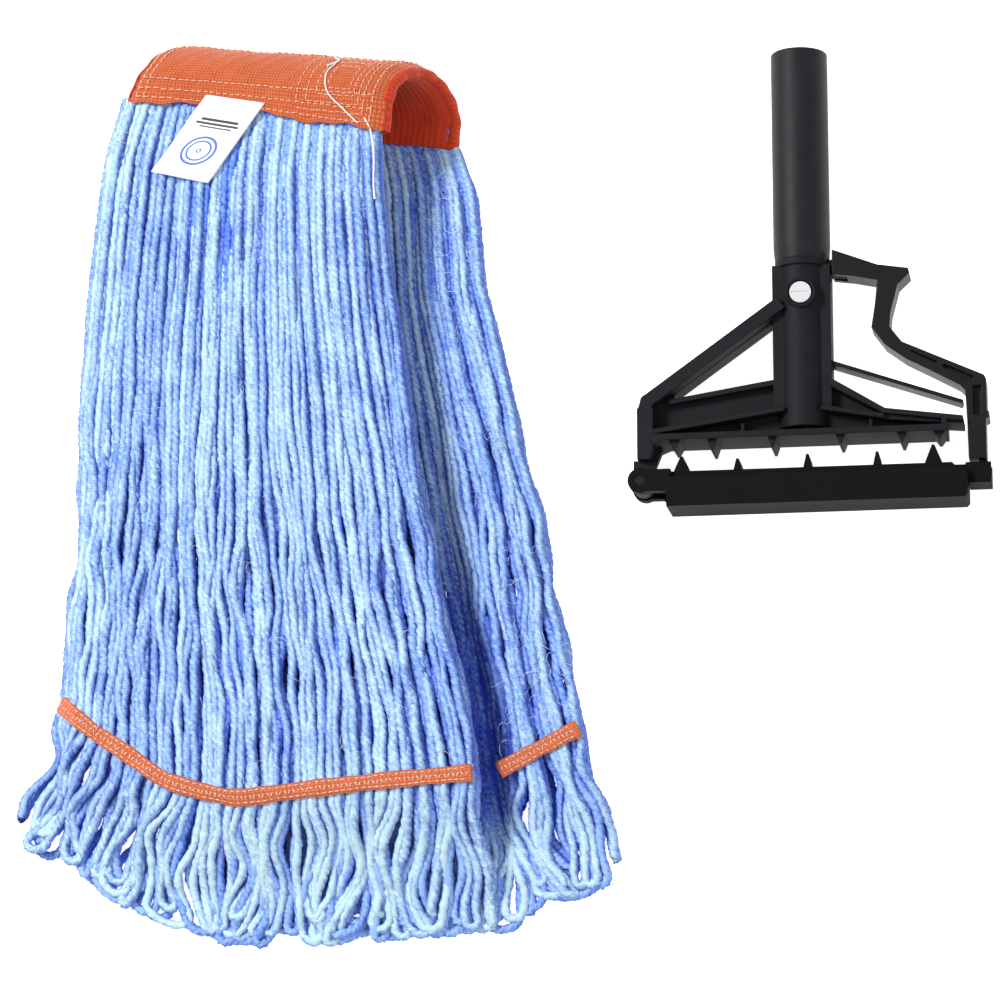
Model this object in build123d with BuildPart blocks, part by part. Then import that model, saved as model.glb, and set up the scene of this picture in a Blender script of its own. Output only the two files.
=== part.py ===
"""String mop: a looped-end yarn head lying beside its side-latch jaw clamp.

Units are millimetres. Z is up from the floor, X runs along the clamp's jaws
and Y along the clamp's handle sleeve. Every node is built where it rests.
"""
import math
import os

from build123d import *

os.makedirs("parts", exist_ok=True)

# ------------------------------------------------------------------ clamp sizes
HANDLE_D = 24.0             # bore for a 15/16 in wooden handle
SLEEVE_WALL = 2.25
SLEEVE_OD = HANDLE_D + 2 * SLEEVE_WALL
SLEEVE_TOP = 234.0          # sleeve mouth
SLEEVE_FOOT = 125.0         # seam between the sleeve and the socket
SPIGOT_LEN = 8.0            # socket spigot held inside the sleeve
SPIGOT_R = HANDLE_D / 2 + 0.7
COLLAR_R = SPIGOT_R + 0.9   # foot of the sleeve and the socket's shoulder
SOCKET_R = 12.4
SOCKET_FLANGE_W = 29.0
SOCKET_BORE_R = 9.0
SOCKET_BOTTOM = 39.0
CLAMP_HALF_DEPTH = SLEEVE_OD / 2
WEB_HALF = 2.5
RIB_HALF = CLAMP_HALF_DEPTH - 2.25
JAW_HALF = CLAMP_HALF_DEPTH - 0.75
PIVOT = (-81.0, 13.5)       # jaw hinge
JAW_PIN_R = 2.5
RUN = 0.05                  # radial running clearance of both hinges
LATCH_PIVOT = (21.0, 121.0)
LATCH_PIN_R = 2.0
LATCH_HALF = 8.0
BOLT_Y = 106.5
BOLT_R = 2.9
BOLT_HEAD_R = 5.35
LEAF_T = 1.9

UPPER_TEETH = [(-64.0, 29.5, 7.0), (-45.2, 28.2, 5.6), (-15.2, 28.5, 5.4),
               (18.5, 29.2, 5.4), (48.8, 29.2, 5.6), (67.0, 30.5, 7.0)]
LOWER_TEETH = [(-60.5, 25.6, 9.0), (-32.7, 23.7, 4.6), (2.0, 24.7, 4.6),
               (36.4, 24.7, 4.6), (64.0, 27.3, 9.5)]
JAW_EDGE = 33.6             # lower edge of the upper jaw
BAR_TOP = 18.0              # top of the lower jaw bar

CLAMP_AT = Location((156.0, -16.0, CLAMP_HALF_DEPTH))
HOME = Location((0.0, -3.3, 0.0))   # brings the middle of the whole set to the origin

# ------------------------------------------------------------------- head sizes
BAND_R = 28.0               # outside radius of the folded headband
BAND_T = 10.0               # tape, yarn, tape
TAPE_T = 1.2
BAND_LEG = 10.0
BAND_W = 128.0              # five inch headband
BAND_LEAN = 0.58            # sideways lean of the band per unit of height
BAND_TURN = -7.0            # degrees about Z
BAND_AT = (-98.5, 198.0)
TAIL_TAPE_W = 8.0
LABEL_T = 0.8
THREAD_R = 0.45

FRONT_LEFT = [(-196.0, 170.0), (-201.0, 130.0), (-205.0, 94.0), (-208.0, 53.0),
              (-210.0, 2.0), (-214.0, -52.0), (-218.0, -108.5)]
FRONT_RIGHT = [(-8.0, -149.0), (-12.0, -110.0), (-24.0, -55.0), (-37.0, 22.0),
               (-49.0, 99.0), (-53.5, 150.0)]
FRONT_TAIL = [(-218.0, -108.5), (-197.5, -124.0), (-182.0, -134.0),
              (-161.5, -149.0), (-146.0, -154.0), (-125.0, -159.0),
              (-87.0, -155.0), (-53.0, -152.0), (-8.0, -149.0)]
FRONT_TIPS = [(-4.0, -222.0), (-31.0, -222.5), (-91.0, -227.0), (-126.0, -227.0),
              (-160.0, -221.0), (-179.0, -210.0), (-192.5, -195.0),
              (-212.0, -186.0), (-237.0, -173.0), (-248.0, -160.0)]
BACK_LEFT = [(-148.0, 150.0), (-150.0, 100.0), (-152.0, 0.0), (-152.0, -118.0)]
BACK_RIGHT = [(40.5, -123.0), (32.0, -61.5), (22.0, -10.0), (9.5, 41.5),
              (-6.0, 103.0), (-11.0, 155.0)]
BACK_TAIL = [(-152.0, -118.0), (-130.0, -134.0), (-95.0, -146.0),
             (-50.0, -149.0), (-2.0, -143.5), (40.5, -123.0)]
BACK_TIPS = [(58.0, -188.0), (55.5, -201.5), (26.0, -208.0), (17.0, -219.0),
             (-4.0, -221.0), (-70.0, -221.0), (-130.0, -212.0), (-158.0, -190.0)]

# side profiles of the two yarn layers, as (Y, Z)
BAND_TOP = 2 * BAND_R
BAND_SOFFIT = BAND_TOP - BAND_T
PARTING = 22.0              # height where the front layer lies on the back one
FRONT_TOP = [(235.0, BAND_TOP), (188.0, BAND_TOP), (150.0, BAND_TOP - 4.0),
             (100.0, PARTING + 26.0), (0.0, PARTING + 24.0),
             (-100.0, PARTING + 22.0), (-156.0, PARTING + 20.0),
             (-190.0, PARTING + 7.0), (-232.0, 12.0)]
FRONT_BASE = [(-232.0, 5.0), (-200.0, 12.0), (-160.0, PARTING), (60.0, PARTING),
              (100.0, PARTING + 5.0), (150.0, BAND_SOFFIT - 9.0),
              (180.0, BAND_SOFFIT), (235.0, BAND_SOFFIT)]
BACK_TOP = [(235.0, BAND_T), (182.0, BAND_T), (150.0, BAND_T + 7.0),
            (100.0, PARTING - 1.0), (60.0, PARTING), (-160.0, PARTING),
            (-200.0, 12.0), (-232.0, 5.0)]
# cross profile of the top of the head, as (X, Z): the left side sags to the floor
CROSS_TOP = [(80.0, BAND_TOP + 8.0), (-190.0, BAND_TOP + 8.0), (-222.0, 28.0), (-262.0, 8.0)]


def save(name, part):
    placed = part.moved(HOME)
    placed.label = name
    export_step(placed, "parts/" + name + ".step")


# --------------------------------------------------------------- shape helpers
def plate(points, half):
    """A flat outline in XY, extruded evenly to both sides of Z = 0."""
    with BuildPart() as made:
        with BuildSketch(Plane.XY.offset(-half)):
            with BuildLine():
                Polyline(*points, close=True)
            make_face()
        extrude(amount=2 * half)
    return made.part


def bar(start, end, width, half):
    """A straight rib from start to end in the XY plane."""
    length = math.dist(start, end)
    angle = math.degrees(math.atan2(end[1] - start[1], end[0] - start[0]))
    middle = ((start[0] + end[0]) / 2, (start[1] + end[1]) / 2, 0)
    with BuildPart() as made:
        with Locations(Location(middle, (0, 0, angle))):
            Box(length, width, 2 * half)
    return made.part


def post(x, y, radius, low, high):
    """An upright cylinder between two heights."""
    with BuildPart() as made:
        with Locations((x, y, low)):
            Cylinder(radius, high - low, align=(Align.CENTER, Align.CENTER, Align.MIN))
    return made.part


def rod(x, low, high, radius, z=0.0):
    """A round rod along Y."""
    with BuildPart() as made:
        with Locations(Location((x, low, z), (-90, 0, 0))):
            Cylinder(radius, high - low, align=(Align.CENTER, Align.CENTER, Align.MIN))
    return made.part


def block(low, high):
    """An upright box between two opposite corners."""
    size = [b - a for a, b in zip(low, high)]
    middle = [(a + b) / 2 for a, b in zip(low, high)]
    with BuildPart() as made:
        with Locations(tuple(middle)):
            Box(*size)
    return made.part


def tooth(x, tip, base, root, half):
    """A ridge tooth: wide at its root, nearly sharp at its tip."""
    return plate([(x - base / 2, root), (x + base / 2, root),
                  (x + 0.6, tip), (x - 0.6, tip)], half)


def outline_prism(points, low, high):
    with BuildPart() as made:
        with BuildSketch(Plane.XY.offset(low)):
            with BuildLine():
                Polyline(*points, close=True)
            make_face()
        extrude(amount=high - low)
    return made.part


def side_prism(points):
    """A (Y, Z) outline extruded along X over the whole head."""
    with BuildPart() as made:
        with BuildSketch(Plane.YZ.offset(-300)):
            with BuildLine():
                Polyline(*points, close=True)
            make_face()
        extrude(amount=400)
    return made.part


def cross_prism(points):
    """An (X, Z) outline extruded along Y over the whole head."""
    with BuildPart() as made:
        with BuildSketch(Plane.XZ.offset(-300)):
            with BuildLine():
                Polyline(*points, close=True)
            make_face()
        extrude(amount=600)
    return made.part


def layer(points, top, base, lift=0.0):
    """Yarn inside an outline, between a base and a top that can be lifted."""
    raised = [(y, z + lift) for y, z in top]
    cross = [(x, z + lift) for x, z in CROSS_TOP]
    with BuildPart() as made:
        add(outline_prism(points, -1, 80))
        add(side_prism(raised + base), mode=Mode.INTERSECT)
        add(cross_prism(cross + [(-262.0, -2.0), (80.0, -2.0)]), mode=Mode.INTERSECT)
    return made.part


def ribbon(line, width, ends=1.5):
    """The outline of a tape of even width along a line."""
    upper, lower = [], []
    for i, point in enumerate(line):
        before = line[max(i - 1, 0)]
        after = line[min(i + 1, len(line) - 1)]
        dx, dy = after[0] - before[0], after[1] - before[1]
        run = math.hypot(dx, dy)
        dx, dy = dx / run, dy / run
        past = -ends if i == 0 else ends if i == len(line) - 1 else 0.0
        x, y = point[0] + dx * past, point[1] + dy * past
        upper.append((x - dy * width / 2, y + dx * width / 2))
        lower.append((x + dy * width / 2, y - dx * width / 2))
    return upper + lower[::-1]


# ------------------------------------------------------------------- the clamp
def clamp_frame():
    """Socket, left brace, web, ribs and the toothed upper jaw in one moulding."""
    px, py = PIVOT
    lx, ly = LATCH_PIVOT
    web = [(-13.0, 104.0), (-76.0, 59.0), (-81.0, 55.0), (-82.5, 49.5),
           (-82.5, 22.0), (-74.5, 22.0), (-71.0, 30.5), (-71.0, JAW_EDGE),
           (71.0, JAW_EDGE), (71.0, 40.0), (79.0, 40.0), (79.0, 41.0),
           (40.8, 46.0), (16.4, 60.0), (13.0, 62.0)]
    hole = [(-65.5, 55.5), (-64.0, 59.5), (-16.0, 93.5), (-14.6, 92.0),
            (-14.6, 63.5)]
    with BuildPart() as made:
        add(plate(web, WEB_HALF))
        add(bar((-77.5, 54.0), (-10.0, 102.2), 6.5, RIB_HALF))
        add(bar((-77.5, 54.0), (-79.6, 47.0), 6.5, RIB_HALF))
        add(post(-77.5, 54.0, 3.4, -RIB_HALF, RIB_HALF))
        add(plate([(-82.5, 50.5), (-82.5, 24.5), (-76.5, 24.5), (-74.5, 30.0),
                   (-74.5, 50.5)], RIB_HALF))
        add(bar((-78.5, 37.8), (-9.0, 47.9), 2.4, RIB_HALF))
        add(bar((9.0, 47.9), (40.0, 42.4), 2.4, RIB_HALF))
        add(bar((40.0, 42.4), (79.0, 38.8), 2.4, 9.0))
        add(bar((-67.0, 54.2), (-13.0, 62.4), 2.6, 8.0))
        add(plate([(14.0, 62.6), (14.0, 58.6), (39.8, 43.8), (78.9, 38.6),
                   (78.9, 41.0), (40.8, 46.2)], RIB_HALF))
        add(plate([(-75.5, JAW_EDGE), (71.0, JAW_EDGE), (71.0, JAW_EDGE + 3.2),
                   (-75.5, JAW_EDGE + 3.2)], JAW_HALF))
        add(plate([(-74.6, 31.0), (-66.0, JAW_EDGE + 1), (-75.0, JAW_EDGE + 1)],
                  JAW_HALF))
        add(plate([(68.5, JAW_EDGE), (71.0, JAW_EDGE), (71.0, 40.4), (68.5, 40.4)],
                  RIB_HALF))
        for x, tip, base in UPPER_TEETH:
            add(tooth(x, tip, base, JAW_EDGE + 1, 10.5))
        for x in (-30.0, 2.0, 33.5):
            add(bar((x, JAW_EDGE + 1), (x, 41.8), 1.8, 8.5))
        add(plate(hole, 20.0), mode=Mode.SUBTRACT)
        add(rod(0, SOCKET_BOTTOM, SLEEVE_FOOT, SOCKET_R))
        add(block((-SOCKET_FLANGE_W / 2, 47.0, -8.0), (SOCKET_FLANGE_W / 2, 122.0, 8.0)))
        add(rod(0, 121.5, SLEEVE_FOOT, COLLAR_R))
        add(rod(0, SLEEVE_FOOT, SLEEVE_FOOT + SPIGOT_LEN, SPIGOT_R))
        add(post(0, BOLT_Y, 7.6, -13.6, 13.6))
        add(bar((12.0, ly), (lx, ly), 8.0, 4.0))
        add(post(lx, ly, 4.4, -4.0, 4.0))
        add(plate([(px - 1.5, 24.5), (px - 5.2, py), (px + 5.2, py),
                   (-74.5, 24.5)], 6.4))
        add(post(px, py, 5.4, -6.4, 6.4))
        add(plate([(-85.0, 20.6), (-76.0, 20.6), (-76.0, 24.8), (-85.0, 24.8)], 6.4))
        add(rod(0, 55.0, SLEEVE_FOOT + SPIGOT_LEN + 1, SOCKET_BORE_R),
            mode=Mode.SUBTRACT)
        add(post(px, py, JAW_PIN_R, -10, 10), mode=Mode.SUBTRACT)
        add(post(lx, ly, LATCH_PIN_R, -10, 10), mode=Mode.SUBTRACT)
        add(post(0, BOLT_Y, BOLT_R, -20, 20), mode=Mode.SUBTRACT)
        add(post(0, BOLT_Y, 6.25, 11.4, 20), mode=Mode.SUBTRACT)
        add(post(0, BOLT_Y, 6.25, -20, -10.4), mode=Mode.SUBTRACT)
        add(leaf(), mode=Mode.SUBTRACT)
    return made.part


def handle_sleeve():
    """Tube round the handle end, with a tapered collar at its foot."""
    with BuildPart() as made:
        with BuildSketch(Plane.XY):
            with BuildLine():
                Polyline((HANDLE_D / 2, SLEEVE_FOOT + SPIGOT_LEN),
                         (SPIGOT_R, SLEEVE_FOOT + SPIGOT_LEN),
                         (SPIGOT_R, SLEEVE_FOOT),
                         (COLLAR_R, SLEEVE_FOOT),
                         (SLEEVE_OD / 2, SLEEVE_FOOT + 7.5),
                         (SLEEVE_OD / 2, SLEEVE_TOP - 0.6),
                         (SLEEVE_OD / 2 - 0.6, SLEEVE_TOP),
                         (HANDLE_D / 2, SLEEVE_TOP), close=True)
            make_face()
        revolve(axis=Axis.Y)
    return made.part


def leaf():
    """Thin spring strip from the socket's flange to the latch."""
    return bar((10.5, 73.1), (78.6, 49.4), LEAF_T, 6.0)


def lower_jaw():
    px, py = PIVOT
    profile = [(-70.0, 5.0), (-66.0, 0.0), (76.0, 0.0), (80.0, 4.0),
               (81.0, 7.7), (92.0, 7.7), (92.0, BAR_TOP), (72.0, BAR_TOP),
               (-66.0, BAR_TOP), (-70.0, 16.0)]
    with BuildPart() as made:
        add(plate(profile, 4.0))
        add(plate([(-68.0, 0.0), (79.0, 0.0), (80.5, 1.5), (80.5, 13.0), (78.5, 15.0),
                   (-68.0, 15.0)], JAW_HALF))
        add(plate([(-68.0, 15.0), (76.0, 15.0), (73.0, BAR_TOP), (-66.0, BAR_TOP)],
                  10.5))
        add(plate([(81.0, 7.7), (92.0, 7.7), (92.0, BAR_TOP), (79.5, BAR_TOP),
                   (79.5, 12.0)], 9.0))
        for x, tip, base in LOWER_TEETH:
            add(tooth(x, tip, base, BAR_TOP - 1, 10.0))
        for side in (-1, 1):
            add(block((px, 8.0, side * 10.0 - 3.1), (-66.0, 19.0, side * 10.0 + 3.1)))
            low = 6.9 if side > 0 else -13.1
            add(post(px, py, 6.3, low, low + 6.2))
        add(post(px, py, JAW_PIN_R + RUN, -20, 20), mode=Mode.SUBTRACT)
        add(block((84.5, 12.0, -4.6), (93.0, 20.0, 4.6)), mode=Mode.SUBTRACT)
    return made.part


def side_latch():
    lx, ly = LATCH_PIVOT
    outer = [(15.6, ly - 4.4), (26.0, 115.2), (38.0, 112.6), (36.5, 100.0), (34.6, 88.5),
             (41.0, 79.5), (51.0, 72.0), (65.0, 64.5), (77.5, 57.5),
             (80.2, 54.5), (80.8, 40.0), (81.2, 20.2), (90.0, 20.2),
             (90.0, 40.0), (91.6, 40.6), (91.6, 43.4), (90.6, 44.0),
             (90.6, 60.0), (89.5, 62.2), (49.5, 80.5), (43.5, 88.5),
             (44.2, 96.0), (48.0, 110.0), (54.0, 115.6), (53.4, 118.2),
             (38.0, 120.6), (15.6, ly + 8.2)]
    pocket_a = [(53.5, 75.6), (66.0, 68.8), (66.6, 69.8), (54.4, 75.8)]
    pocket_b = [(69.0, 67.0), (83.5, 59.0), (84.4, 61.6), (70.0, 68.4)]
    pocket_c = [(84.0, 42.0), (88.0, 42.0), (88.0, 57.0), (84.0, 57.0)]
    with BuildPart() as made:
        add(plate(outer, LATCH_HALF))
        add(post(lx, ly, 4.7, -LATCH_HALF, LATCH_HALF))
        add(block((86.0, 13.0, -4.0), (90.0, 21.0, 4.0)))
        for pocket in (pocket_a, pocket_b, pocket_c):
            for side in (-1, 1):
                with BuildSketch(Plane.XY.offset(LATCH_HALF - 3 if side > 0
                                                 else -LATCH_HALF)):
                    with BuildLine():
                        Polyline(*pocket, close=True)
                    make_face()
                extrude(amount=3, mode=Mode.SUBTRACT)
        add(post(lx, ly, 5.6, -4.4, 4.4), mode=Mode.SUBTRACT)
        add(block((8.0, ly - 9.0, -4.4), (lx + 1.0, ly + 9.0, 4.4)),
            mode=Mode.SUBTRACT)
        add(post(lx, ly, LATCH_PIN_R + RUN, -6.5, 6.5), mode=Mode.SUBTRACT)
    return made.part


def bolt():
    """Round-headed cross bolt with a driver slot."""
    with BuildPart() as made:
        add(post(0, BOLT_Y, BOLT_R, -13.6, 12.4))
        add(post(0, BOLT_Y, BOLT_HEAD_R, 12.2, 14.0))
        add(block((-4.4, BOLT_Y - 0.55, 13.3), (4.4, BOLT_Y + 0.55, 15.0)),
            mode=Mode.SUBTRACT)
    return made.part


def bolt_washer():
    with BuildPart() as made:
        add(post(0, BOLT_Y, 6.2, 11.4, 12.2))
        add(post(0, BOLT_Y, BOLT_R, 10, 14), mode=Mode.SUBTRACT)
    return made.part


def bolt_nut():
    with BuildPart() as made:
        with BuildSketch(Plane.XY.offset(-13.6)):
            with Locations((0, BOLT_Y)):
                RegularPolygon(5.9, 6)
                Circle(BOLT_R, mode=Mode.SUBTRACT)
        extrude(amount=3.2)
    return made.part


for name, part in (
        ("clamp_frame", clamp_frame()),
        ("handle_sleeve", handle_sleeve()),
        ("latch_leaf", leaf()),
        ("lower_jaw", lower_jaw()),
        ("side_latch", side_latch()),
        ("handle_bolt", bolt()),
        ("bolt_washer", bolt_washer()),
        ("bolt_nut", bolt_nut()),
        ("jaw_pin", post(*PIVOT, JAW_PIN_R, -12.9, 12.9)),
        ("latch_pin", post(*LATCH_PIVOT, LATCH_PIN_R, -6.4, 6.4))):
    save(name, part.moved(CLAMP_AT))


# ---------------------------------------------------------------- the headband
def band_shell(outside, inside, leg, lean_cut):
    """A folded strip between two radii, open towards -Y, with leaning ends."""
    with BuildPart() as made:
        with BuildSketch(Plane.YZ.offset(-110)):
            with Locations((0, BAND_R)):
                Circle(outside)
                Circle(inside, mode=Mode.SUBTRACT)
            with Locations((-60, BAND_R)):
                Rectangle(120, 200, mode=Mode.SUBTRACT)
            for side in (-1, 1):
                middle = (outside + inside) / 2
                with Locations((-leg / 2, BAND_R + side * middle)):
                    Rectangle(leg, outside - inside)
        extrude(amount=220)
        add(lean_cut, mode=Mode.INTERSECT)
    return made.part


def leaning(start, end):
    """Everything between two leaning planes across the band."""
    low, high = -2.0, 2 * BAND_R + 4
    lift = [(x - BAND_LEAN * (z - BAND_R), z)
            for x, z in ((start, low), (end, low), (end, high), (start, high))]
    with BuildPart() as made:
        with BuildSketch(Plane.XZ.offset(-60)):
            with BuildLine():
                Polyline(*lift, close=True)
            make_face()
        extrude(amount=140)
    return made.part


BAND_PLACE = Location((*BAND_AT, 0), (0, 0, BAND_TURN))
HALF = BAND_W / 2
outer_tape = band_shell(BAND_R, BAND_R - TAPE_T, BAND_LEG, leaning(-HALF, HALF))
core = band_shell(BAND_R - TAPE_T, BAND_R - BAND_T + TAPE_T, BAND_LEG,
                  leaning(-HALF + 0.8, HALF - 0.8))
inner_tape = band_shell(BAND_R - BAND_T + TAPE_T, BAND_R - BAND_T, BAND_LEG,
                        leaning(-HALF, HALF))


def stitching():
    """Rows of sewing thread standing just proud of the outer tape."""
    rows = [leaning(-HALF + 6, -HALF + 7), leaning(HALF - 7, HALF - 6),
            leaning(HALF - 42, HALF - 41)]
    rows += [block((-90, y, BAND_R), (90, y + 1.0, 90)) for y in (-8.4, -4.4, 19.0)]
    with BuildPart() as lines:
        for row in rows:
            add(row)
    with BuildPart() as made:
        add(band_shell(BAND_R + 0.5, BAND_R, BAND_LEG - 1, leaning(-HALF + 5, HALF - 5)))
        add(lines.part, mode=Mode.INTERSECT)
        add(block((-90, -40, -5), (90, 40, BAND_R - 6)), mode=Mode.SUBTRACT)
    return made.part


save("headband_outer_tape", outer_tape.moved(BAND_PLACE))
save("headband_yarn", core.moved(BAND_PLACE))
save("headband_inner_tape", inner_tape.moved(BAND_PLACE))
save("headband_stitching", stitching().moved(BAND_PLACE))

# ------------------------------------------------------------- the yarn layers
past_band = block((-150, -BAND_LEG, -5), (150, 80, 90)).moved(BAND_PLACE)
tail_grip = ribbon(FRONT_TAIL, TAIL_TAPE_W)
back_grip = ribbon(BACK_TAIL, TAIL_TAPE_W, ends=0.0)
front_panel = ([(-186.0, 214.0)] + FRONT_LEFT + FRONT_TAIL[1:-1] + FRONT_RIGHT
               + [(-53.0, 196.0)])
back_panel = ([(-146.0, 206.0)] + BACK_LEFT + BACK_TAIL[1:-1] + BACK_RIGHT
              + [(-20.0, 200.0)])
front_ends = FRONT_TAIL + FRONT_TIPS
back_ends = BACK_TAIL + BACK_TIPS
GROUND = [(-232.0, 0.0), (235.0, 0.0)]
SAG = [(-262.0, 230.0), (-157.0, 230.0), (-157.0, -115.0), (-163.0, -170.0),
       (-163.0, -240.0), (-262.0, -240.0)]
FLOOR = [(-232.0, 0.0), (170.0, 0.0)]
SAG_TOP = [(170.0, PARTING + 14.0), (150.0, PARTING + 16.0), (60.0, PARTING + 8.0),
           (-160.0, PARTING + 8.0), (-200.0, 20.0), (-232.0, 10.0)]


def sagging(points):
    """The part of the front layer that hangs to the floor at the left."""
    with BuildPart() as made:
        add(layer(points, SAG_TOP, FLOOR))
        add(outline_prism(SAG, -1, 80), mode=Mode.INTERSECT)
    return made.part


lower_tape = layer(tail_grip, [(235.0, PARTING + TAPE_T), (-232.0, PARTING + TAPE_T)],
                   [(-232.0, PARTING), (235.0, PARTING)])
floor_tape = layer(back_grip, [(235.0, TAPE_T), (-232.0, TAPE_T)], GROUND)

with BuildPart() as front_yarn:
    add(layer(front_panel, FRONT_TOP, FRONT_BASE))
    add(sagging(front_panel))
    add(past_band, mode=Mode.SUBTRACT)
    add(lower_tape, mode=Mode.SUBTRACT)
save("front_yarn", front_yarn.part)

with BuildPart() as front_fringe:
    add(layer(front_ends, FRONT_TOP, FRONT_BASE))
    add(sagging(front_ends))
    add(lower_tape, mode=Mode.SUBTRACT)
save("front_fringe", front_fringe.part)

with BuildPart() as back_yarn:
    add(layer(back_panel, BACK_TOP, GROUND))
    add(past_band, mode=Mode.SUBTRACT)
    add(floor_tape, mode=Mode.SUBTRACT)
save("back_yarn", back_yarn.part)

with BuildPart() as back_fringe:
    add(layer(back_ends, BACK_TOP, GROUND))
    add(floor_tape, mode=Mode.SUBTRACT)
save("back_fringe", back_fringe.part)

# -------------------------------------------------- tail tapes, label, thread
with BuildPart() as front_tail_upper:
    add(layer(tail_grip, FRONT_TOP, FRONT_BASE, lift=TAPE_T))
    add(layer(tail_grip, FRONT_TOP, FRONT_BASE), mode=Mode.SUBTRACT)
save("front_tail_tape_upper", front_tail_upper.part)
save("front_tail_tape_lower", lower_tape)

clear_of_front = outline_prism([(-5.5, -180.0), (-5.5, -134.0), (-10.0, -107.0),
                                (-4.0, -60.0), (60.0, -60.0), (60.0, -180.0)], -1, 80)
with BuildPart() as back_tail_upper:
    add(layer(back_grip, BACK_TOP, GROUND, lift=TAPE_T))
    add(layer(back_grip, BACK_TOP, GROUND), mode=Mode.SUBTRACT)
    add(clear_of_front, mode=Mode.INTERSECT)
save("back_tail_tape_upper", back_tail_upper.part)
save("back_tail_tape_lower", floor_tape)

LABEL = [(-141.5, 199.0), (-111.0, 193.0), (-140.5, 153.0), (-170.0, 160.0)]
with BuildPart() as label:
    add(layer(LABEL, FRONT_TOP, FRONT_BASE, lift=LABEL_T))
    add(layer(LABEL, FRONT_TOP, FRONT_BASE), mode=Mode.SUBTRACT)
    add(stitching().moved(BAND_PLACE), mode=Mode.SUBTRACT)
save("label", label.part)

# The thread lies on the front layer: straight runs joined by tangent arcs.
THREAD = [(-60.0, 183.0, 55.97), (-57.0, 178.0, 55.42), (-55.8, 170.0, 54.6),
          (-55.2, 160.5, 53.6), (-55.9, 150.5, 52.53), (-55.3, 141.5, 51.8)]
THREAD_BENDS = [6.0, 12.0, 20.0, 14.0]
with BuildPart() as thread:
    with BuildLine() as run:
        FilletPolyline(*THREAD, radius=THREAD_BENDS)
    with BuildSketch(Plane(origin=run.line @ 0, z_dir=run.line % 0)):
        Circle(THREAD_R)
    sweep()
save("loose_thread", thread.part)
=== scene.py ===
"""Looks of the string mop: yarn, headband, tail tapes, label and the plastic clamp."""
import math

import bpy
import numpy as np
from mathutils import Matrix, Vector


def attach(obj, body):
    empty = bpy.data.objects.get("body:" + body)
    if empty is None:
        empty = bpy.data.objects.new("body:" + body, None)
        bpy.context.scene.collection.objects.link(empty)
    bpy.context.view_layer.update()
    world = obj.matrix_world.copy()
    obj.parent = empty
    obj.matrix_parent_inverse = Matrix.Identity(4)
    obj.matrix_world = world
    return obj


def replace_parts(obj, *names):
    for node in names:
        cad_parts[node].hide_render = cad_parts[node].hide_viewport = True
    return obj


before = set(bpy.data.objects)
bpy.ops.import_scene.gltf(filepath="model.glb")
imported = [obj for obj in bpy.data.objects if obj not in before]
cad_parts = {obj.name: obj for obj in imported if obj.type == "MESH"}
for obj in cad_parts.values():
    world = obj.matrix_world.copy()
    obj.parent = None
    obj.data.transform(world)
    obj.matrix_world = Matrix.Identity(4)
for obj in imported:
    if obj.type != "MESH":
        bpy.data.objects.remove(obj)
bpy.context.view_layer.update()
MM = 0.001
rng = np.random.default_rng(7)


# ------------------------------------------------------------------ materials
LABEL_WEAVE = 0.0008


def linear(code):
    """Linear colour from an sRGB hex code."""
    parts = [int(code[i:i + 2], 16) / 255 for i in (1, 3, 5)]
    return tuple(c / 12.92 if c < 0.04045 else ((c + 0.055) / 1.055) ** 2.4
                 for c in parts) + (1.0,)


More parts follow.
